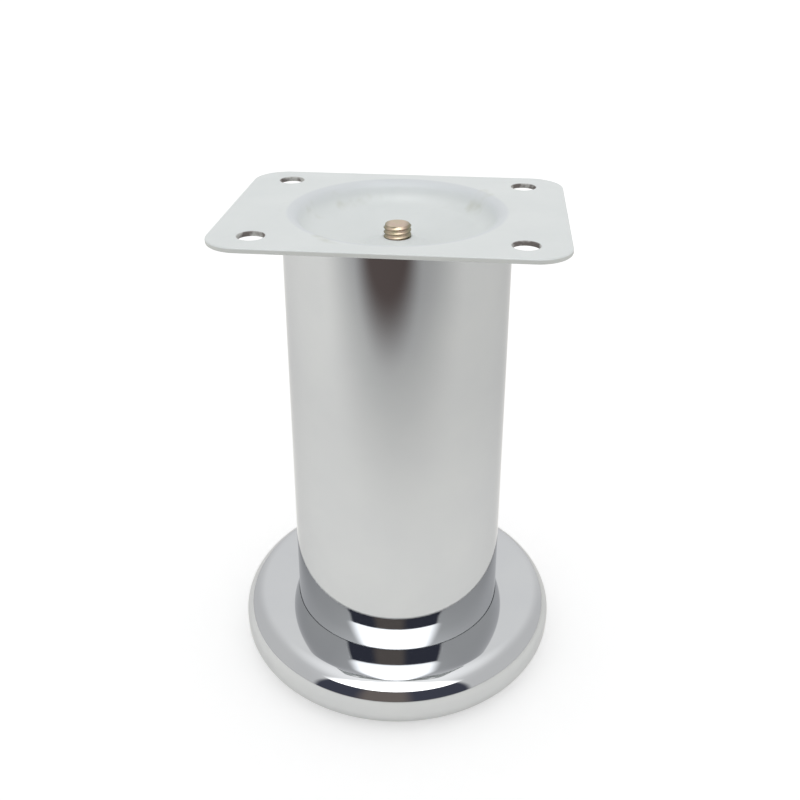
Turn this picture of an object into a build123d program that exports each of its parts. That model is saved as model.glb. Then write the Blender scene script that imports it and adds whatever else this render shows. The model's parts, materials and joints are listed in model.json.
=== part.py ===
# Chromed furniture leg: a pressed mounting plate, a straight tube and a pressed foot, clamped by one
# long bolt. Millimetres, +Z up, origin on the floor below the leg's axis.
import os
from math import acos, atan2, cos, degrees, radians, sin, tan

from build123d import *

os.makedirs("parts", exist_ok=True)

# Leg
total_height = 111.0
tube_diameter = 50.0
tube_wall = 1.0
tube_end_break = 0.2

# Mounting plate
plate_gauge = 1.2
plate_overhang_x = 11.3
plate_overhang_y = 2.6
plate_corner_radius = 7.5
plate_edge_round = 0.35
hole_diameter = 5.5
hole_margin_x = 9.1
hole_margin_y = 7.5

# Dish pressed into the middle of the plate, measured on its upper face
dish_nest_gap = 0.35
dish_rim_bend = 2.6
dish_wall_depth = 4.2
dish_wall_lean = 1.7
dish_depth = 8.4
dish_floor_bend = 4.0
boss_radius = 7.6
boss_height = 2.5
boss_bend = 1.6

# Foot
flange_width = 13.4
foot_gauge = 1.0
rim_radius = 5.4
rim_turn = 86.0
rim_skirt = 1.35
rim_lip = 2.0
crown_radius = 32.0
groove_gap = 0.1
groove_wall = 1.2
groove_bend = 0.25
shoulder_bend = 0.35
shoulder_root_bend = 0.2
spigot_gap = 0.3
spigot_height = 4.5
spigot_bend = 1.5

# Tie bolt and its washers
bolt_diameter = 6.0
bolt_tip_depth = 3.2
bolt_tip_chamfer = 0.4
bolt_hole_gap = 0.3
thread_gap = 0.05
head_flats = 6
head_across_flats = 10.0
head_height = 4.0
head_chamfer_angle = 30.0
washer_diameter = 18.0
washer_thickness = 1.6
lock_washer_rim = 2.6
lock_washer_thickness = 1.6
lock_washer_slit = 1.2
lock_washer_slant = 0.6

# Radii and levels that follow from the sizes above
tube_radius = tube_diameter / 2
bore_radius = tube_radius - tube_wall
bolt_radius = bolt_diameter / 2
bolt_hole_radius = bolt_radius + bolt_hole_gap
plate_bottom = total_height - plate_gauge
foot_radius = tube_radius + flange_width

# The rim rounds over to a short upright skirt, and the crown is a flatter arc tangent to it
rim_centre = (foot_radius - rim_radius, rim_radius + rim_skirt)
crown_offset = crown_radius - rim_radius
crown_centre = (
    rim_centre[0] - crown_offset * cos(radians(rim_turn)),
    rim_centre[1] - crown_offset * sin(radians(rim_turn)),
)
groove_radius = tube_radius + groove_gap


# Centre and angle of the bend from the groove's wall to the crown, on the face this deep in the sheet
def shoulder(depth, bend):
    across = groove_radius + depth + bend
    reach = crown_radius - depth - bend
    angle = acos((across - crown_centre[0]) / reach)
    return (across, crown_centre[1] + reach * sin(angle)), degrees(angle)


# The tube stands on the groove's floor, and the levels below the web follow from it
seat_height = shoulder(0, shoulder_bend)[0][1] - groove_wall
spigot_radius = bore_radius - spigot_gap
web_height = seat_height + spigot_height
washer_top = web_height - foot_gauge
lock_washer_top = washer_top - washer_thickness
head_top = lock_washer_top - lock_washer_thickness
head_bottom = head_top - head_height

# Mounting plate: one pressing with rounded edges, four screw holes and a dish that drops into the tube
dish_wall_angle = atan2(dish_wall_depth, dish_wall_lean)
dish_wall_top = bore_radius - dish_nest_gap - dish_rim_bend * tan(dish_wall_angle / 2)
with BuildPart() as mounting_plate:
    with BuildSketch(Plane.XY.offset(plate_bottom)):
        RectangleRounded(
            tube_diameter + 2 * plate_overhang_x,
            tube_diameter + 2 * plate_overhang_y,
            plate_corner_radius,
        )
        Circle(tube_radius, mode=Mode.SUBTRACT)
    extrude(amount=plate_gauge)
    flat_faces = mounting_plate.faces().filter_by(Axis.Z)
    fillet([edge for face in flat_faces for edge in face.outer_wire().edges()], plate_edge_round)
    with BuildSketch(Plane.XZ):
        with BuildLine():
            FilletPolyline(
                (bolt_radius + thread_gap, total_height - dish_depth + boss_height),
                (boss_radius, total_height - dish_depth),
                (dish_wall_top - dish_wall_lean, total_height - dish_wall_depth),
                (dish_wall_top, total_height),
                (tube_radius, total_height),
                radius=(boss_bend, dish_floor_bend, dish_rim_bend),
            )
            offset(amount=plate_gauge, side=Side.RIGHT)
        make_face()
    revolve(axis=Axis.Z)
    with Locations((0, 0, total_height)):
        with GridLocations(
            tube_diameter + 2 * (plate_overhang_x - hole_margin_x),
            tube_diameter + 2 * (plate_overhang_y - hole_margin_y),
            2,
            2,
        ):
            Hole(hole_diameter / 2)
        Hole(bolt_radius + thread_gap)
mounting_plate.part.label = "mounting_plate"
export_step(mounting_plate.part, "parts/mounting_plate.step")

# Leg tube: stands in the foot's groove and carries the plate on its upper end
with BuildPart() as leg_tube:
    with BuildSketch(Plane.XY.offset(seat_height)):
        Circle(tube_radius)
        Circle(bore_radius, mode=Mode.SUBTRACT)
    extrude(amount=plate_bottom - seat_height)
    chamfer(leg_tube.edges().filter_by(GeomType.CIRCLE), tube_end_break)
leg_tube.part.label = "leg_tube"
export_step(leg_tube.part, "parts/leg_tube.step")


# One face of the foot's sheet, this deep below its upper face, from the bolt hole out to the lip
def foot_face(depth, bend):
    bend_centre, bend_angle = shoulder(depth, bend)
    FilletPolyline(
        (bolt_hole_radius, web_height - depth),
        (spigot_radius - depth, web_height - depth),
        (spigot_radius - depth, seat_height - depth),
        (groove_radius + depth, seat_height - depth),
        (groove_radius + depth, bend_centre[1]),
        radius=(spigot_bend - depth, groove_bend + depth, groove_bend + depth),
    )
    CenterArc(bend_centre, bend, 180, bend_angle - 180)
    CenterArc(crown_centre, crown_radius - depth, bend_angle, rim_turn - bend_angle)
    CenterArc(rim_centre, rim_radius - depth, rim_turn, -rim_turn)
    Line((foot_radius - depth, rim_centre[1]), (foot_radius - depth, rim_radius))
    CenterArc((rim_centre[0], rim_radius), rim_radius - depth, 0, -90)
    Line((rim_centre[0], depth), (rim_centre[0] - rim_lip, depth))


# Foot: one pressing, from the bolt's web over the spigot, groove and crown to the rolled rim
with BuildPart() as foot_flange:
    with BuildSketch(Plane.XZ):
        with BuildLine():
            foot_face(0, shoulder_bend)
            foot_face(foot_gauge, shoulder_root_bend)
            Line((bolt_hole_radius, web_height), (bolt_hole_radius, web_height - foot_gauge))
            Line((rim_centre[0] - rim_lip, 0), (rim_centre[0] - rim_lip, foot_gauge))
        make_face()
    revolve(axis=Axis.Z)
foot_flange.part.label = "foot_flange"
export_step(foot_flange.part, "parts/foot_flange.step")

# Tie bolt: hex head under the foot's web, tip standing out of the plate's boss
head_corner_radius = head_across_flats / 2 / cos(radians(180 / head_flats))
head_chamfer_height = (head_corner_radius - head_across_flats / 2) * tan(radians(head_chamfer_angle))
with BuildPart() as tie_bolt:
    with BuildSketch(Plane.XY.offset(head_bottom)):
        RegularPolygon(head_across_flats / 2, head_flats, major_radius=False)
    extrude(amount=head_height)
    with BuildSketch(Plane.XZ):
        with BuildLine():
            Polyline(
                (0, head_bottom),
                (head_across_flats / 2, head_bottom),
                (head_corner_radius, head_bottom + head_chamfer_height),
                (head_corner_radius, head_top),
                (0, head_top),
                close=True,
            )
        make_face()
    revolve(axis=Axis.Z, mode=Mode.INTERSECT)
    with BuildSketch(Plane.XY.offset(head_top)):
        Circle(bolt_radius)
    extrude(amount=total_height - bolt_tip_depth - head_top)
    tip = tie_bolt.edges().filter_by(GeomType.CIRCLE).sort_by(Axis.Z)[-1]
    chamfer(tip, bolt_tip_chamfer)
tie_bolt.part.label = "tie_bolt"
export_step(tie_bolt.part, "parts/tie_bolt.step")

# Flat washer against the underside of the web
with BuildPart() as flat_washer:
    with BuildSketch(Plane.XY.offset(lock_washer_top)):
        Circle(washer_diameter / 2)
        Circle(bolt_hole_radius, mode=Mode.SUBTRACT)
    extrude(amount=washer_thickness)
flat_washer.part.label = "flat_washer"
export_step(flat_washer.part, "parts/flat_washer.step")

# Split lock washer, flattened between the bolt head and the flat washer
lock_washer_radius = bolt_hole_radius + lock_washer_rim
with BuildPart() as lock_washer:
    with BuildSketch(Plane.XY.offset(head_top)):
        Circle(lock_washer_radius)
        Circle(bolt_hole_radius, mode=Mode.SUBTRACT)
    extrude(amount=lock_washer_thickness)
    with BuildSketch(Plane.XZ):
        with BuildLine():
            Polyline(
                (-lock_washer_slit / 2 - lock_washer_slant, head_top),
                (lock_washer_slit / 2 - lock_washer_slant, head_top),
                (lock_washer_slit / 2 + lock_washer_slant, lock_washer_top),
                (-lock_washer_slit / 2 + lock_washer_slant, lock_washer_top),
                close=True,
            )
        make_face()
    extrude(amount=lock_washer_radius, mode=Mode.SUBTRACT)
lock_washer.part.label = "lock_washer"
export_step(lock_washer.part, "parts/lock_washer.step")
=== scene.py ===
import json
import math

import bmesh
import bpy
from mathutils import Matrix, Vector


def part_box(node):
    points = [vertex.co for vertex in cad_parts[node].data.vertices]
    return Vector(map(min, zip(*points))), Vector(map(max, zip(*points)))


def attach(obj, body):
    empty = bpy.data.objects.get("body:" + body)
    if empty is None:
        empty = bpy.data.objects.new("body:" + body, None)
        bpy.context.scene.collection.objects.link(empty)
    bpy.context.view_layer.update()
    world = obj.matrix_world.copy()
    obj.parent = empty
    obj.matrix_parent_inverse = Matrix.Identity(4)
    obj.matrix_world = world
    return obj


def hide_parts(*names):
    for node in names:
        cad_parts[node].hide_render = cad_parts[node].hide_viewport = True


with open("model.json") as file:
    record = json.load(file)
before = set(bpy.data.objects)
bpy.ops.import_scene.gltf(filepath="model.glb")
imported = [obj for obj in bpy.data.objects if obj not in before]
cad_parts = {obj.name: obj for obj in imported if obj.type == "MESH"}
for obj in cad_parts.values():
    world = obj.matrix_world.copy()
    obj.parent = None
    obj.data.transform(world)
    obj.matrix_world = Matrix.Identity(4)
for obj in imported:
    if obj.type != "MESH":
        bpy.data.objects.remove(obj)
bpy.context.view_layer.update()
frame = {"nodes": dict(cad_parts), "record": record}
mounts = {mount["name"]: mount for mount in frame["record"]["mounts"]}
holePattern = mounts["plate_holes"]["dims"]
mm = 0.001  # lengths in the settings are millimetres
weldGap = 0.001
cutGap = 0.0001
print("frame loaded:", ", ".join(sorted(frame["nodes"])))


def pick(items, kind):
    return [item for item in items if isinstance(item, kind)]


def metres(lengths):
    return [length * mm for length in lengths]


# A pen that draws half sections in the XZ plane, r to the right and z up

def startAt(bm, r, z):
    return bm.verts.new((r * mm, 0, z * mm))


def lineTo(bm, pen, r, z):
    tip = bmesh.ops.extrude_vert_indiv(bm, verts=[pen])["verts"][0]
    tip.co = (r * mm, 0, z * mm)
    return tip


def arcTo(bm, pen, centre, turn, steps):  # turn in degrees, anticlockwise is positive
    swept = bmesh.ops.spin(bm, geom=[pen], cent=(centre[0] * mm, 0, centre[1] * mm), axis=(0, -1, 0),
                           dvec=(0, 0, 0), angle=math.radians(turn), steps=steps, use_duplicate=False)
    return pick(swept["geom_last"], bmesh.types.BMVert)[0]


def bendTo(bm, pen, corner, beyond, radius, steps):  # straight on, then round the corner towards beyond
    here = Vector((pen.co.x, pen.co.z)) / mm
    corner, beyond = Vector(corner), Vector(beyond)
    inward, outward = (corner - here).normalized(), (beyond - corner).normalized()
    turn = -inward.angle_signed(outward)
    begin = corner - inward * radius * math.tan(abs(turn) / 2)
    side = Vector((-inward.y, inward.x)) * math.copysign(radius, turn)
    pen = lineTo(bm, pen, *begin)
    return arcTo(bm, pen, begin + side, math.degrees(turn), steps)


def turnRound(bm, steps):  # one full turn of all that is drawn
    bmesh.ops.spin(bm, geom=bm.verts[:] + bm.edges[:], cent=(0, 0, 0), axis=(0, 0, 1), dvec=(0, 0, 0),
                   angle=math.tau, steps=steps, use_merge=True, use_duplicate=False)
    bmesh.ops.remove_doubles(bm, verts=bm.verts[:], dist=weldGap * mm)
    bmesh.ops.recalc_face_normals(bm, faces=bm.faces[:])


def extrudeLoop(bm, loop):  # gives the new vertices and the new loop
    out = bmesh.ops.extrude_edge_only(bm, edges=loop)["geom"]
    verts = pick(out, bmesh.types.BMVert)
    edges = pick(out, bmesh.types.BMEdge)
    return verts, [edge for edge in edges if all(vert in verts for vert in edge.verts)]


def makePiece(bm, name, node, sharpAngle):
    mesh = bpy.data.meshes.new(name)
    bm.to_mesh(mesh)
    bm.free()
    mesh.shade_smooth()
    mesh.set_sharp_from_angle(angle=math.radians(sharpAngle))
    piece = bpy.data.objects.new(name, mesh)
    bpy.context.scene.collection.objects.link(piece)
    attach(piece, "root")
    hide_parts(node)
    print(name, "built with", len(mesh.polygons), "faces")
    return piece


# Leg tube

tubeSettings = {"wall": 1.0, "endBreak": 0.2, "bands": 24, "steps": 256, "sharpAngle": 30}


def buildTube():
    size = tubeSettings
    low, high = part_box("leg_tube")
    radius, bottom, top = high.x / mm, low.z / mm, high.z / mm
    bore, cut = radius - size["wall"], size["endBreak"]
    bm = bmesh.new()
    first = startAt(bm, bore, bottom + cut)
    pen = lineTo(bm, first, bore + cut, bottom)
    pen = lineTo(bm, pen, radius - cut, bottom)
    for band in range(size["bands"] + 1):
        pen = lineTo(bm, pen, radius, bottom + cut + (top - bottom - 2 * cut) * band / size["bands"])
    pen = lineTo(bm, pen, radius - cut, top)
    pen = lineTo(bm, pen, bore + cut, top)
    pen = lineTo(bm, pen, bore, top - cut)
    bm.edges.new((pen, first))
    turnRound(bm, size["steps"])
    return makePiece(bm, "legTube", "leg_tube", size["sharpAngle"])


# Foot, one pressing: web, spigot, groove, crown, rolled rim and lip

footSettings = {
    "gauge": 1.0, "holeRadius": 3.3, "spigotGap": 0.3, "spigotBend": 1.5, "grooveGap": 0.03,
    "grooveBend": 0.25, "shoulderBend": 0.15, "rootBend": 0.2, "crownRadius": 32.0, "rimRadius": 5.4,
    "rimTurn": 86.0, "rimSkirt": 1.35, "rimLip": 2.0, "spigotSteps": 10, "grooveSteps": 6,
    "shoulderSteps": 12, "crownSteps": 32, "rimSteps": 28, "steps": 256, "sharpAngle": 40,
}


def footFace(bm, depth, shoulderBend):  # one face of the sheet, this deep below its upper face
    size = footSettings
    tubeLow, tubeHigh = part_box("leg_tube")
    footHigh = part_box("foot_flange")[1]
    web, seat = footHigh.z / mm, tubeLow.z / mm
    spigot = tubeHigh.x / mm - tubeSettings["wall"] - size["spigotGap"]
    groove = tubeHigh.x / mm + size["grooveGap"]
    rim = Vector((footHigh.x / mm - size["rimRadius"], size["rimRadius"] + size["rimSkirt"]))
    lean = math.radians(size["rimTurn"])
    crown = rim - (size["crownRadius"] - size["rimRadius"]) * Vector((math.cos(lean), math.sin(lean)))
    reach = size["crownRadius"] - depth - shoulderBend
    shoulderTurn = math.acos((groove + depth + shoulderBend - crown.x) / reach)
    shoulder = crown + reach * Vector((math.cos(shoulderTurn), math.sin(shoulderTurn)))
    shoulderTurn = math.degrees(shoulderTurn)
    bend = size["grooveBend"]
    first = startAt(bm, size["holeRadius"], web - depth)
    pen = lineTo(bm, first, spigot - size["spigotBend"], web - depth)
    pen = arcTo(bm, pen, (spigot - size["spigotBend"], web - size["spigotBend"]), -90, size["spigotSteps"])
    pen = lineTo(bm, pen, spigot - depth, seat + bend)
    pen = arcTo(bm, pen, (spigot + bend, seat + bend), 90, size["grooveSteps"])
    pen = lineTo(bm, pen, groove - bend, seat - depth)
    pen = arcTo(bm, pen, (groove - bend, seat + bend), 90, size["grooveSteps"])
    pen = lineTo(bm, pen, groove + depth, shoulder.y)
    pen = arcTo(bm, pen, shoulder, shoulderTurn - 180, size["shoulderSteps"])
    pen = arcTo(bm, pen, crown, size["rimTurn"] - shoulderTurn, size["crownSteps"])
    pen = arcTo(bm, pen, rim, -size["rimTurn"], size["rimSteps"])
    pen = lineTo(bm, pen, footHigh.x / mm - depth, size["rimRadius"])
    pen = arcTo(bm, pen, (rim.x, size["rimRadius"]), -90, size["rimSteps"])
    pen = lineTo(bm, pen, rim.x - size["rimLip"], depth)
    return first, pen


def buildFoot():
    size = footSettings
    bm = bmesh.new()
    upper = footFace(bm, 0, size["shoulderBend"])
    lower = footFace(bm, size["gauge"], size["rootBend"])
    for above, below in zip(upper, lower):
        bm.edges.new((above, below))
    turnRound(bm, size["steps"])
    return makePiece(bm, "footFlange", "foot_flange", size["sharpAngle"])


# Mounting plate: an upper skin with the dish, given its gauge afterwards

plateSettings = {
    "gauge": 1.2, "cornerRadius": 7.5, "edgeRound": 0.35, "collar": 1.0, "nestGap": 0.35, "rimBend": 2.6,
    "wallDepth": 4.2, "wallLean": 1.7, "dishDepth": 8.4, "floorBend": 4.0, "bossRadius": 7.6,
    "bossHeight": 2.5, "bossBend": 1.6, "boltHole": 3.05, "bendSteps": 10, "rimSteps": 12, "steps": 192,
    "holeSteps": 40, "cornerSteps": 14, "sideSteps": 12, "edgeSteps": 3, "edgeAngle": 60, "sharpAngle": 40,
}


def drawDish(bm, top, tubeRadius):  # from the bolt's hole out to the tube's radius, gives its outer border
    size = plateSettings
    wallAngle = math.atan2(size["wallDepth"], size["wallLean"])
    wallTop = tubeRadius - tubeSettings["wall"] - size["nestGap"] - size["rimBend"] * math.tan(wallAngle / 2)
    boss = (size["bossRadius"], top - size["dishDepth"])
    floorEdge = (wallTop - size["wallLean"], top - size["wallDepth"])
    pen = startAt(bm, size["boltHole"], boss[1] + size["bossHeight"])
    pen = bendTo(bm, pen, boss, floorEdge, size["bossBend"], size["bendSteps"])
    pen = bendTo(bm, pen, floorEdge, (wallTop, top), size["floorBend"], size["bendSteps"])
    pen = bendTo(bm, pen, (wallTop, top), (tubeRadius, top), size["rimBend"], size["rimSteps"])
    lineTo(bm, pen, tubeRadius, top)
    turnRound(bm, size["steps"])
    ends = [edge for edge in bm.edges if edge.is_boundary]
    return [edge for edge in ends if edge.verts[0].co.xy.length > size["bossRadius"] * mm]


def drawOutline(bm, high, collar, corner):  # the rounded rectangle, a collar's width further in
    size = plateSettings
    spread = Matrix.Diagonal((2 * (high.x - collar), 2 * (high.y - collar), 1, 1))
    corners = bmesh.ops.create_grid(bm, x_segments=1, y_segments=1, size=0.5,
                                    matrix=Matrix.Translation((0, 0, high.z)) @ spread)["verts"]
    bmesh.ops.bevel(bm, geom=corners, offset=corner - collar, offset_type="ABSOLUTE", affect="VERTICES",
                    segments=size["cornerSteps"], profile=0.5, material=-1)
    sheet = [face for face in bm.faces if len(face.verts) > 4 * size["cornerSteps"]]
    sides = [edge for edge in sheet[0].edges if edge.calc_length() > corner]
    bmesh.ops.delete(bm, geom=sheet, context="FACES_ONLY")
    bmesh.ops.subdivide_edges(bm, edges=sides, cuts=size["sideSteps"])
    return [edge for edge in bm.edges if edge.is_wire]


def drawHoles(bm, level, collar):  # the screw holes, a collar's width wider
    holes = []
    for across in (-0.5, 0.5):
        for along in (-0.5, 0.5):
            spot = Vector((across * holePattern["spacing_x_mm"], along * holePattern["spacing_y_mm"])) * mm
            place = Matrix.Translation((*spot, level))
            ring = bmesh.ops.create_circle(bm, radius=holePattern["hole_r_mm"] * mm + collar, matrix=place,
                                           segments=plateSettings["holeSteps"])["verts"]
            holes.append((spot, [edge for edge in bm.edges if edge.is_wire and edge.verts[0] in ring]))
    return holes


def buildPlate():
    size = plateSettings
    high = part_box("mounting_plate")[1]
    collar, corner = size["collar"] * mm, size["cornerRadius"] * mm
    bm = bmesh.new()
    border = drawDish(bm, high.z / mm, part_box("leg_tube")[1].x / mm)
    outline = drawOutline(bm, high, collar, corner)
    holes = drawHoles(bm, high.z, collar)
    # the flat is filled between them, then collars are drawn out to the outline and in to the holes
    loops = border + outline + [edge for spot, ring in holes for edge in ring]
    bmesh.ops.triangle_fill(bm, edges=loops, use_beauty=True, normal=(0, 0, 1))
    reach = Vector((high.x, high.y)) - Vector((corner, corner))
    for vert in extrudeLoop(bm, outline)[0]:
        inner = Vector(max(-limit, min(limit, place)) for limit, place in zip(reach, vert.co.xy))
        vert.co.xy = inner + (vert.co.xy - inner).normalized() * corner
    for spot, ring in holes:
        for vert in extrudeLoop(bm, ring)[0]:
            vert.co.xy = spot + (vert.co.xy - spot).normalized() * holePattern["hole_r_mm"] * mm
    bmesh.ops.recalc_face_normals(bm, faces=bm.faces[:])
    if sum(face.normal.z * face.calc_area() for face in bm.faces) < 0:
        bmesh.ops.reverse_faces(bm, faces=bm.faces[:])
    plate = makePiece(bm, "mountingPlate", "mounting_plate", size["sharpAngle"])
    shell = plate.modifiers.new("gauge", "SOLIDIFY")
    shell.thickness = size["gauge"] * mm
    shell.offset = -1
    shell.use_even_offset = True
    edges = plate.modifiers.new("edges", "BEVEL")
    edges.width = size["edgeRound"] * mm
    edges.segments = size["edgeSteps"]
    edges.limit_method = "ANGLE"
    edges.angle_limit = math.radians(size["edgeAngle"])
    plate.modifiers.new("flats", "WEIGHTED_NORMAL")
    return plate


# Tie bolt: rolled thread, plain shank and chamfered hex head, all one skin

boltSettings = {
    "radius": 3.0, "pitch": 1.0, "threadDepth": 0.3, "threadLength": 24.0, "spareTurns": 2, "runout": 2.0,
    "profile": (0.3, 0.58, 0.72, 1.0),  # shares of the pitch: root's end, crest's two ends, next root
    "tipChamfer": 0.4, "headSides": 6, "headFlats": 10.0, "headHeight": 4.0, "bearingFace": 4.7,
    "chamferAngle": 30.0, "steps": 48, "sharpAngle": 25,
}


def setRadius(vert, radius):
    vert.co.xy = vert.co.xy.normalized() * radius * mm


def hexRadius(vert):  # from the axis to the head's side, in the vertex's direction
    sector = math.tau / boltSettings["headSides"]
    turn = math.atan2(vert.co.y, vert.co.x) % sector - sector / 2
    return boltSettings["headFlats"] / 2 / math.cos(turn)


def cutAt(bm, z, clearAbove=False, clearBelow=False):
    cut = bmesh.ops.bisect_plane(bm, geom=bm.verts[:] + bm.edges[:] + bm.faces[:], dist=cutGap * mm,
                                 plane_co=(0, 0, z * mm), plane_no=(0, 0, 1),
                                 clear_outer=clearAbove, clear_inner=clearBelow)
    return pick(cut["geom_cut"], bmesh.types.BMEdge)


def rollThread(bm, start):  # longer than the thread at both ends
    size = boltSettings
    root, crest, pitch = size["radius"] - size["threadDepth"], size["radius"], size["pitch"]
    base = start - pitch
    pen = startAt(bm, root, base)
    for radius, share in zip((root, crest, crest, root), size["profile"]):
        pen = lineTo(bm, pen, radius, base + share * pitch)
    turns = math.ceil(size["threadLength"] / pitch) + size["spareTurns"]
    bmesh.ops.spin(bm, geom=bm.verts[:] + bm.edges[:], cent=(0, 0, 0), axis=(0, 0, 1),
                   dvec=(0, 0, pitch * mm / size["steps"]), angle=math.tau * turns,
                   steps=turns * size["steps"], use_duplicate=False)
    bmesh.ops.remove_doubles(bm, verts=bm.verts[:], dist=weldGap * mm)


def closeTip(bm, tip):  # cut level, chamfered and closed
    size = boltSettings
    chamferStart = tip - size["tipChamfer"]
    cutAt(bm, chamferStart)
    end = cutAt(bm, tip, clearAbove=True)
    for vert in bm.verts:
        limit = size["radius"] - max(0, vert.co.z / mm - chamferStart)
        if vert.co.xy.length > limit * mm:
            setRadius(vert, limit)
    bmesh.ops.edgeloop_fill(bm, edges=end)


def addHead(bm, loop, headTop, headBottom):
    size = boltSettings
    for stage in ("upper", "chamfer", "lower"):
        verts, loop = extrudeLoop(bm, loop)
        for vert in verts:
            corner = hexRadius(vert)
            rise = (corner - size["headFlats"] / 2) * math.tan(math.radians(size["chamferAngle"]))
            setRadius(vert, size["headFlats"] / 2 if stage == "lower" else corner)
            vert.co.z = {"upper": headTop, "chamfer": headBottom + rise, "lower": headBottom}[stage] * mm
    bmesh.ops.edgeloop_fill(bm, edges=loop)


def buildBolt():
    size = boltSettings
    low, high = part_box("tie_bolt")
    tip, headBottom = high.z / mm, low.z / mm
    headTop = headBottom + size["headHeight"]
    threadStart = tip - size["threadLength"]
    bm = bmesh.new()
    rollThread(bm, threadStart)
    closeTip(bm, tip)
    # the thread runs out into the shank, which ends in the head's bearing face
    loop = cutAt(bm, threadStart, clearBelow=True)
    shankStart = threadStart - size["runout"]
    shank, bearing = size["radius"], size["bearingFace"]
    for radius, z in ((shank, shankStart), (shank, headTop), (bearing, headTop)):
        verts, loop = extrudeLoop(bm, loop)
        for vert in verts:
            setRadius(vert, radius)
            vert.co.z = z * mm
    addHead(bm, loop, headTop, headBottom)
    bmesh.ops.recalc_face_normals(bm, faces=bm.faces[:])
    return makePiece(bm, "tieBolt", "tie_bolt", size["sharpAngle"])


# Nodes that the finishes share

def addNode(tree, kind, **sockets):
    node = tree.nodes.new(kind)
    for name, value in sockets.items():
        node.inputs[name.replace("_", " ")].default_value = value
    return node


def newFinish(name, **sockets):
    finish = bpy.data.materials.new(name)
    finish.use_nodes = True
    tree = finish.node_tree
    shader = tree.nodes["Principled BSDF"]
    for socket, value in sockets.items():
        shader.inputs[socket.replace("_", " ")].default_value = value
    place = tree.nodes.new("ShaderNodeTexCoord").outputs["Object"]
    return finish, tree, shader, place


def addNoise(tree, place, scale, detail=3.0, roughness=0.55, distortion=0.0):
    noise = addNode(tree, "ShaderNodeTexNoise", Scale=scale, Detail=detail, Roughness=roughness,
                    Distortion=distortion)
    tree.links.new(place, noise.inputs["Vector"])
    return noise.outputs["Fac"]


def addRamp(tree, factor, stops):
    ramp = tree.nodes.new("ShaderNodeValToRGB")
    while len(ramp.color_ramp.elements) < len(stops):
        ramp.color_ramp.elements.new(0.5)
    for element, (position, colour) in zip(ramp.color_ramp.elements, stops):
        element.position = position
        element.color = (*colour, 1)
    tree.links.new(factor, ramp.inputs["Fac"])
    return ramp.outputs["Color"]


def addRange(tree, factor, low, high):
    spread = addNode(tree, "ShaderNodeMapRange", To_Min=low, To_Max=high)
    tree.links.new(factor, spread.inputs["Value"])
    return spread.outputs["Result"]


def addBump(tree, height, shader, strength, distance):
    bump = addNode(tree, "ShaderNodeBump", Strength=strength, Distance=distance)
    tree.links.new(height, bump.inputs["Height"])
    tree.links.new(bump.outputs["Normal"], shader.inputs["Normal"])


def splitAxes(tree, place):
    axes = tree.nodes.new("ShaderNodeSeparateXYZ")
    tree.links.new(place, axes.inputs["Vector"])
    return axes.outputs


def plugIn(tree, value, socket):  # a link or a fixed value
    if isinstance(value, bpy.types.NodeSocket):
        tree.links.new(value, socket)
    else:
        socket.default_value = value


def addMath(tree, operation, *values):
    node = tree.nodes.new("ShaderNodeMath")
    node.operation = operation
    for socket, value in zip(node.inputs, values):
        plugIn(tree, value, socket)
    return node.outputs["Value"]


def addStep(tree, value, start, end):  # 0 before start, 1 past end, soft between
    step = addNode(tree, "ShaderNodeMapRange", From_Min=start, From_Max=end)
    step.interpolation_type = "SMOOTHSTEP"
    tree.links.new(value, step.inputs["Value"])
    return step.outputs["Result"]


def addBand(tree, value, start, full, fade, end):  # 1 between full and fade, 0 before start and past end
    return addMath(tree, "MULTIPLY", addStep(tree, value, start, full), addStep(tree, value, end, fade))


def addLength(tree, first, second):
    squares = [addMath(tree, "POWER", side, 2) for side in (first, second)]
    return addMath(tree, "SQRT", addMath(tree, "ADD", *squares))


def addMix(tree, factor, first, second):
    mix = tree.nodes.new("ShaderNodeMix")
    mix.data_type = "RGBA"
    tree.links.new(factor, mix.inputs["Factor"])
    plugIn(tree, first, mix.inputs[6])  # the colour A
    plugIn(tree, second, mix.inputs[7])  # the colour B
    return mix.outputs[2]  # the mixed colour


def linkGrain(tree, place, shader, look):
    grain = addRange(tree, addNoise(tree, place, look["grain"]), *look["roughness"])
    tree.links.new(grain, shader.inputs["Roughness"])


# Chrome of the tube and foot, duller inside the foot

chromeSettings = {
    "edgeTint": (0.77, 0.77, 0.78, 1), "haze": 60, "hazeDetail": 4,
    "tones": ((0.35, (0.545, 0.555, 0.57)), (0.7, (0.565, 0.575, 0.585))),
    "grain": 220, "roughness": (0.015, 0.05), "dullness": 0.42, "dullFade": 0.1,
}


def chromeFinish():
    look, foot = chromeSettings, footSettings
    finish, tree, shader, place = newFinish("chromePlate", Metallic=1.0, Specular_Tint=look["edgeTint"])
    haze = addNoise(tree, place, look["haze"], detail=look["hazeDetail"])
    tree.links.new(addRamp(tree, haze, look["tones"]), shader.inputs["Base Color"])
    # the inside is all that lies deeper than half the gauge within the rim and the crown
    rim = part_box("foot_flange")[1].x - foot["rimRadius"] * mm
    x, y, z = splitAxes(tree, place)
    out = addMath(tree, "MAXIMUM", addMath(tree, "SUBTRACT", addLength(tree, x, y), rim), 0.0)
    halfSkirt = foot["rimSkirt"] / 2
    level = addMath(tree, "ABSOLUTE", addMath(tree, "SUBTRACT", z, (foot["rimRadius"] + halfSkirt) * mm))
    level = addMath(tree, "MAXIMUM", addMath(tree, "SUBTRACT", level, halfSkirt * mm), 0.0)
    depth = (foot["rimRadius"] - foot["gauge"] / 2) * mm
    inside = addStep(tree, addLength(tree, out, level), depth, depth - look["dullFade"] * mm)
    polish = addRange(tree, addNoise(tree, place, look["grain"]), *look["roughness"])
    roughness = addMath(tree, "MULTIPLY_ADD", inside, look["dullness"], polish)
    tree.links.new(roughness, shader.inputs["Roughness"])
    return finish


# Pale zinc of the mounting plate

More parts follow.
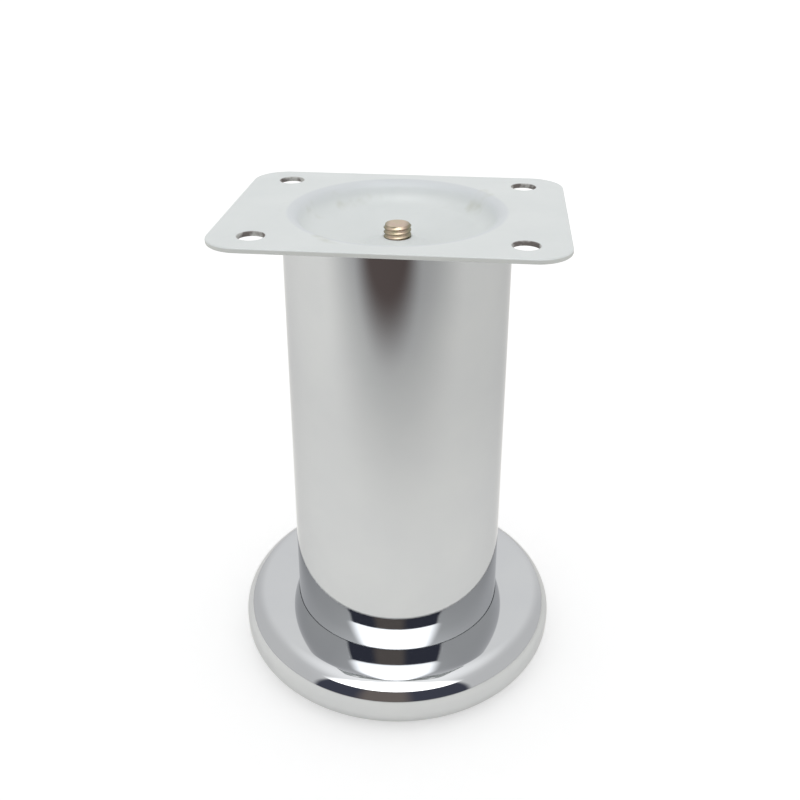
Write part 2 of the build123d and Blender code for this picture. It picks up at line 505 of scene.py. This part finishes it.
whiteZincSettings = {
    "metal": 0.1, "cloud": 45, "cloudDetail": 5, "cloudRoughness": 0.65,
    "tones": ((0.3, (0.725, 0.757, 0.754)), (0.7, (0.768, 0.795, 0.792))),
    "rimShadeBand": (20.5, 22.0, 23.2, 24.2), "rimShadeShare": 0.5, "rimShadeTone": (0.62, 0.65, 0.69, 1),
    "stain": 95, "stainSpan": (0.58, 0.8), "stainBand": (17.0, 21.0, 24.0, 26.0),
    "stainTone": (0.58, 0.60, 0.54, 1),
    "edgeShadeBand": (0.2, 0.4), "edgeShadeOut": (25.5, 26.5), "edgeShadeTone": (0.60, 0.615, 0.59, 1),
    "holeShadeBand": (0.25, 0.05), "spots": 420, "spotDetail": 2,
    "holeShadeTones": ((0.42, (0.52, 0.52, 0.50)), (0.58, (0.17, 0.15, 0.14))),
    "grain": 160, "roughness": (0.50, 0.64), "tooth": 900, "toothDetail": 2, "toothStrength": 0.15,
    "toothDepth": 0.05,
}


def whiteZincFinish():
    look = whiteZincSettings
    finish, tree, shader, place = newFinish("whiteZinc", Metallic=look["metal"])
    x, y, z = splitAxes(tree, place)
    radius = addLength(tree, x, y)
    cloud = addNoise(tree, place, look["cloud"], look["cloudDetail"], look["cloudRoughness"])
    colour = addRamp(tree, cloud, look["tones"])
    # painted shade: the dish's rim bend is painted a darker bluish grey; and a few yellow stains round the
    # dish's rim
    rim = addBand(tree, radius, *metres(look["rimShadeBand"]))
    colour = addMix(tree, addMath(tree, "MULTIPLY", rim, look["rimShadeShare"]), colour, look["rimShadeTone"])
    stain = addStep(tree, addNoise(tree, place, look["stain"]), *look["stainSpan"])
    band = addBand(tree, radius, *metres(look["stainBand"]))
    colour = addMix(tree, addMath(tree, "MULTIPLY", stain, band), colour, look["stainTone"])
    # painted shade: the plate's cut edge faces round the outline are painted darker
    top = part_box("mounting_plate")[1].z
    bottom = top - plateSettings["gauge"] * mm
    start, full = metres(look["edgeShadeBand"])
    shadedEdge = addBand(tree, z, bottom, bottom + start, top - full, top - start)
    outer = addStep(tree, radius, *metres(look["edgeShadeOut"]))
    colour = addMix(tree, addMath(tree, "MULTIPLY", shadedEdge, outer), colour, look["edgeShadeTone"])
    # painted shade: the walls of the punched holes are painted a mottled dark grey
    across = addMath(tree, "SUBTRACT", addMath(tree, "ABSOLUTE", x), holePattern["spacing_x_mm"] / 2 * mm)
    along = addMath(tree, "SUBTRACT", addMath(tree, "ABSOLUTE", y), holePattern["spacing_y_mm"] / 2 * mm)
    edge = metres(holePattern["hole_r_mm"] + beyond for beyond in look["holeShadeBand"])
    cut = addStep(tree, addLength(tree, across, along), *edge)
    spots = addRamp(tree, addNoise(tree, place, look["spots"], detail=look["spotDetail"]), look["holeShadeTones"])
    tree.links.new(addMix(tree, cut, colour, spots), shader.inputs["Base Color"])
    linkGrain(tree, place, shader, look)
    tooth = addNoise(tree, place, look["tooth"], detail=look["toothDetail"])
    addBump(tree, tooth, shader, look["toothStrength"], look["toothDepth"] * mm)
    return finish


# Yellow zinc of the bolt, with painted shade: darker olive towards its left and right sides

yellowZincSettings = {
    "tint": 420, "distortion": 0.6,
    "tones": ((0.3, (0.47, 0.425, 0.29)), (0.5, (0.54, 0.435, 0.33)), (0.7, (0.54, 0.40, 0.335))),
    "sideShade": (1.3, 2.9), "sideShadeTone": (0.26, 0.24, 0.16, 1), "grain": 900, "roughness": (0.28, 0.42),
}


def yellowZincFinish():
    look = yellowZincSettings
    finish, tree, shader, place = newFinish("yellowZinc", Metallic=1.0)
    colour = addRamp(tree, addNoise(tree, place, look["tint"], distortion=look["distortion"]), look["tones"])
    # painted shade: the bolt is painted darker olive towards its left and right sides
    aside = addMath(tree, "ABSOLUTE", splitAxes(tree, place)["X"])
    sideShade = addStep(tree, aside, *metres(look["sideShade"]))
    tree.links.new(addMix(tree, sideShade, colour, look["sideShadeTone"]), shader.inputs["Base Color"])
    linkGrain(tree, place, shader, look)
    return finish


# Bright zinc of the washers

washerSettings = {
    "dull": 300, "dullDetail": 4, "tones": ((0.3, (0.60, 0.62, 0.64)), (0.7, (0.70, 0.72, 0.74))),
    "grain": 700, "roughness": (0.25, 0.4),
}


def washerFinish():
    look = washerSettings
    finish, tree, shader, place = newFinish("washerZinc", Metallic=1.0)
    dull = addNoise(tree, place, look["dull"], detail=look["dullDetail"])
    tree.links.new(addRamp(tree, dull, look["tones"]), shader.inputs["Base Color"])
    linkGrain(tree, place, shader, look)
    return finish


# Camera, at the photo's place

cameraSettings = {
    "stand": 196.69, "height": 173.47, "turn": 6.06, "tilt": 24.13, "lens": 42.92, "sensor": 36,
    "shift": (0.0032, -0.1025), "clip": 10.0,
}


def makeCamera():
    view = cameraSettings
    data = bpy.data.cameras.new("photoCamera")
    data.lens = view["lens"]
    data.sensor_width = view["sensor"]
    data.shift_x, data.shift_y = view["shift"]
    data.clip_start = view["clip"] * mm
    camera = bpy.data.objects.new("photoCamera", data)
    turn = math.radians(view["turn"])
    stand = view["stand"] * mm
    camera.location = (stand * math.sin(turn), -stand * math.cos(turn), view["height"] * mm)
    camera.rotation_euler = (math.radians(90 - view["tilt"]), 0, turn)
    bpy.context.scene.collection.objects.link(camera)
    bpy.context.scene.camera = camera


# Stage: a pale floor under a white sky, both with a level of their own in the chrome

stageSettings = {
    "inner": 33.0, "outer": 4000.0, "steps": 96, "floor": (0.80, 0.80, 0.80, 1), "floorRoughness": 0.9,
    "cameraLift": 0.34, "mirrorLift": (0.37, 0.19), "mirrorSpan": 200.0, "footLightPool": 0.14,
    "footPoolSpan": (160.0, 45.0), "skyLight": 0.9, "mirrorSky": 1.02, "sideSky": 0.80, "sideSpan": (0.3, 0.8),
    "zenith": 1.4, "zenithSpan": (0.75, 1.0),
}
# the rest is seen only in the chrome: a clear sheet on the floor with painted shadow, a dark card before the
# leg, a glow above
floorShadowSettings = {"lift": 0.3, "glass": (1.0, 0.995, 0.96, 1), "shadowPatches": (
    {"middle": (0.0, 0.0), "radii": (1200.0, 1200.0), "clear": 0.3, "full": 1.0,
     "tint": (0.55, 0.55, 0.56, 1)},
    {"middle": (-92.0, -284.0), "radii": (656.0, 221.0), "clear": 1.0, "full": 0.0,
     "tint": (0.43, 0.43, 0.43, 1)},
    {"middle": (-60.0, -360.0), "radii": (208.0, 185.0), "clear": 1.0, "full": 0.52,
     "tint": (0.135, 0.108, 0.102, 1)},
)}
cardSettings = {
    "away": 330.0, "left": -54.0, "right": 47.0, "height": 290.0, "fade": 5.0, "steps": 48,
    "sides": (0.075, 0.08, 0.11, 1), "core": (0.22, 0.19, 0.175, 1), "coreMiddle": -8.0,
    "coreHalf": (10.0, 20.0),
}
glowSettings = {"peak": 3.6, "middle": 2.0, "half": (40.0, 60.0), "rise": (0.63, 0.70)}


def stageObject(name, bm, matrix, material):
    mesh = bpy.data.meshes.new(name)
    bm.to_mesh(mesh)
    bm.free()
    mesh.materials.append(material)
    card = bpy.data.objects.new(name, mesh)
    card.matrix_world = matrix
    bpy.context.scene.collection.objects.link(card)
    return card


def emptyMaterial(name):
    finish = bpy.data.materials.new(name)
    finish.use_nodes = True
    finish.node_tree.nodes.remove(finish.node_tree.nodes["Principled BSDF"])
    return finish, finish.node_tree


def mixClear(tree, factor, surface):  # clear where the factor is 1
    mix = tree.nodes.new("ShaderNodeMixShader")
    tree.links.new(factor, mix.inputs["Fac"])
    tree.links.new(surface, mix.inputs[1])
    tree.links.new(tree.nodes.new("ShaderNodeBsdfTransparent").outputs["BSDF"], mix.inputs[2])
    tree.links.new(mix.outputs["Shader"], tree.nodes["Material Output"].inputs["Surface"])


def addBearing(tree, place, middle, half):  # 0 near the middle, in degrees from the front, and 1 far from it
    x, y = splitAxes(tree, place)[:2]
    bearing = addMath(tree, "ARCTAN2", x, addMath(tree, "MULTIPLY", y, -1.0))
    away = addMath(tree, "ABSOLUTE", addMath(tree, "SUBTRACT", bearing, math.radians(middle)))
    return addStep(tree, away, *[math.radians(turn) for turn in half])


def floorMaterial():
    stage = stageSettings
    finish, tree, shader, place = newFinish("paleFloor", Roughness=stage["floorRoughness"],
                                            Base_Color=stage["floor"], Emission_Color=(1, 1, 1, 1))
    x, y = splitAxes(tree, place)[:2]
    rays = tree.nodes.new("ShaderNodeLightPath")
    seen = addMath(tree, "MULTIPLY", rays.outputs["Is Camera Ray"], stage["cameraLift"])
    # painted light: in the chrome the floor glows, lighter to the left and in a pool round the foot
    span, lift = stage["mirrorSpan"] * mm, stage["mirrorLift"]
    across = addNode(tree, "ShaderNodeMapRange", From_Min=-span, From_Max=span, To_Min=lift[0],
                     To_Max=lift[1])
    tree.links.new(x, across.inputs["Value"])
    near = addStep(tree, addLength(tree, x, y), *metres(stage["footPoolSpan"]))
    level = addMath(tree, "MULTIPLY_ADD", near, stage["footLightPool"], across.outputs["Result"])
    mirrored = addMath(tree, "MULTIPLY", rays.outputs["Is Glossy Ray"], level)
    tree.links.new(addMath(tree, "ADD", seen, mirrored), shader.inputs["Emission Strength"])
    # clear from below, so that the underside can be looked at
    mixClear(tree, tree.nodes.new("ShaderNodeNewGeometry").outputs["Backfacing"], shader.outputs["BSDF"])
    return finish


def floorShadowMaterial():  # clear, with painted shadow in soft dark patches: darker far off, a broad soft shadow and a dark patch before the leg
    finish, tree = emptyMaterial("floorShadow")
    x, y = splitAxes(tree, tree.nodes.new("ShaderNodeTexCoord").outputs["Object"])[:2]
    colour = floorShadowSettings["glass"]
    for patch in floorShadowSettings["shadowPatches"]:
        across, along = [addMath(tree, "DIVIDE", addMath(tree, "SUBTRACT", axis, middle * mm), radius * mm)
                         for axis, middle, radius in zip((x, y), patch["middle"], patch["radii"])]
        cover = addStep(tree, addLength(tree, across, along), patch["clear"], patch["full"])
        colour = addMix(tree, cover, colour, patch["tint"])
    clear = tree.nodes.new("ShaderNodeBsdfTransparent")
    tree.links.new(colour, clear.inputs["Color"])
    tree.links.new(clear.outputs["BSDF"], tree.nodes["Material Output"].inputs["Surface"])
    return finish


def cardMaterial():  # navy, with a paler core and soft ends
    card = cardSettings
    finish, tree = emptyMaterial("darkCard")
    glow = tree.nodes.new("ShaderNodeEmission")
    place = tree.nodes.new("ShaderNodeTexCoord").outputs["Object"]
    far = addBearing(tree, place, card["coreMiddle"], card["coreHalf"])
    tree.links.new(addMix(tree, far, card["core"], card["sides"]), glow.inputs["Color"])
    reach = (card["right"] - card["left"]) / 2
    end = addBearing(tree, place, (card["left"] + card["right"]) / 2, (reach - card["fade"], reach))
    mixClear(tree, end, glow.outputs["Emission"])
    return finish


def makeDisc(name, matrix, material):  # open under the foot, within its lip
    stage = stageSettings
    bm = bmesh.new()
    lineTo(bm, startAt(bm, stage["inner"], 0), stage["outer"], 0)
    turnRound(bm, stage["steps"])
    if bm.faces[:][0].normal.z < 0:
        bmesh.ops.reverse_faces(bm, faces=bm.faces[:])
    return stageObject(name, bm, matrix, material)


def makeCard(name, matrix, material):  # part of a drum round the leg
    card = cardSettings
    bm = bmesh.new()
    low = bm.verts.new((0, -card["away"] * mm, 0))
    high = bmesh.ops.extrude_vert_indiv(bm, verts=[low])["verts"][0]
    high.co.z = card["height"] * mm
    start = Matrix.Rotation(math.radians(card["left"]), 3, "Z")
    bmesh.ops.rotate(bm, verts=bm.verts[:], cent=(0, 0, 0), matrix=start)
    width = math.radians(card["right"] - card["left"])
    bmesh.ops.spin(bm, geom=bm.verts[:] + bm.edges[:], cent=(0, 0, 0), axis=(0, 0, 1), dvec=(0, 0, 0),
                   angle=width, steps=card["steps"], use_duplicate=False)
    return stageObject(name, bm, matrix, material)


def makeStage():
    turn = Matrix.Rotation(math.radians(cameraSettings["turn"]), 4, "Z")
    lift = Matrix.Translation((0, 0, floorShadowSettings["lift"] * mm))
    makeDisc("floor", Matrix.Identity(4), floorMaterial())
    floorShadow = makeDisc("floorShadowSheet", turn @ lift, floorShadowMaterial())
    front = makeCard("frontCard", turn, cardMaterial())
    for card in (floorShadow, front):
        card.visible_camera = card.visible_diffuse = card.visible_shadow = card.visible_transmission = False


def makeWorld():
    stage, glow = stageSettings, glowSettings
    world = bpy.data.worlds.new("studio")
    bpy.context.scene.world = world
    world.use_nodes = True
    tree = world.node_tree
    sky = tree.nodes["Background"]
    sky.inputs["Color"].default_value = (1, 1, 1, 1)
    rays = tree.nodes.new("ShaderNodeLightPath")
    place = tree.nodes.new("ShaderNodeTexCoord").outputs["Generated"]
    axes = splitAxes(tree, place)
    # the mirrored sky: darker to the sides, lighter above, with the glow high up before the leg
    side = addStep(tree, addMath(tree, "ABSOLUTE", axes["X"]), *stage["sideSpan"])
    level = addRange(tree, side, stage["mirrorSky"], stage["sideSky"])
    above = addStep(tree, axes["Z"], *stage["zenithSpan"])
    level = addMath(tree, "MULTIPLY_ADD", above, stage["zenith"] - stage["mirrorSky"], level)
    far = addBearing(tree, place, glow["middle"], glow["half"])
    high = addStep(tree, axes["Z"], *glow["rise"])
    near = addMath(tree, "MAXIMUM", addMath(tree, "SUBTRACT", high, far), 0.0)
    level = addMath(tree, "MULTIPLY_ADD", near, glow["peak"] - stage["mirrorSky"], level)
    mirror = addNode(tree, "ShaderNodeMapRange", To_Min=stage["skyLight"])
    tree.links.new(rays.outputs["Is Glossy Ray"], mirror.inputs["Value"])
    tree.links.new(level, mirror.inputs["To Max"])
    seen = addNode(tree, "ShaderNodeMapRange", To_Max=1.0)
    tree.links.new(rays.outputs["Is Camera Ray"], seen.inputs["Value"])
    tree.links.new(mirror.outputs["Result"], seen.inputs["To Min"])
    tree.links.new(seen.outputs["Result"], sky.inputs["Strength"])


bpy.context.scene.view_settings.view_transform = "Standard"
chrome = chromeFinish()
dressed = (
    (buildTube(), chrome), (buildFoot(), chrome), (buildPlate(), whiteZincFinish()),
    (buildBolt(), yellowZincFinish()),
)
for piece, finish in dressed:
    piece.data.materials.append(finish)
washerZinc = washerFinish()
for node in ("flat_washer", "lock_washer"):
    frame["nodes"][node].data.materials[0] = washerZinc
print("finishes on")
makeCamera()
makeStage()
makeWorld()
print("stage set")
